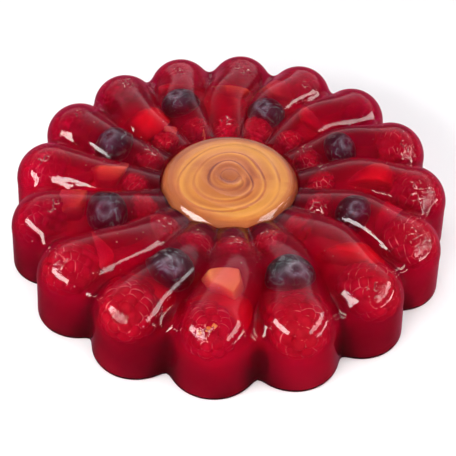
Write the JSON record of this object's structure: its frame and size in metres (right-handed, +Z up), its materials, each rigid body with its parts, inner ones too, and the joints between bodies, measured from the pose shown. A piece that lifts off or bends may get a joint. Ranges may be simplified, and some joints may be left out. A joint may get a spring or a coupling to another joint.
{
  "type": "jelly cake",
  "caption": "Round cake of clear red jelly turned out of a flower mould, with arched petals round a raised amber jelly disc, resting on a flat underside.",
  "frame": {"origin": "centre of the flat underside", "axes": "+Z up through the middle of the amber disc, -Y towards the tip of one petal"},
  "size_m": [0.1836, 0.1836, 0.0315],
  "materials": {
    "red_jelly": "gloss",
    "amber_jelly": "gloss"
  },
  "bodies": {
    "root": {"red_jelly": "red_jelly", "amber_disc": "amber_jelly"}
  },
  "joints": []
}
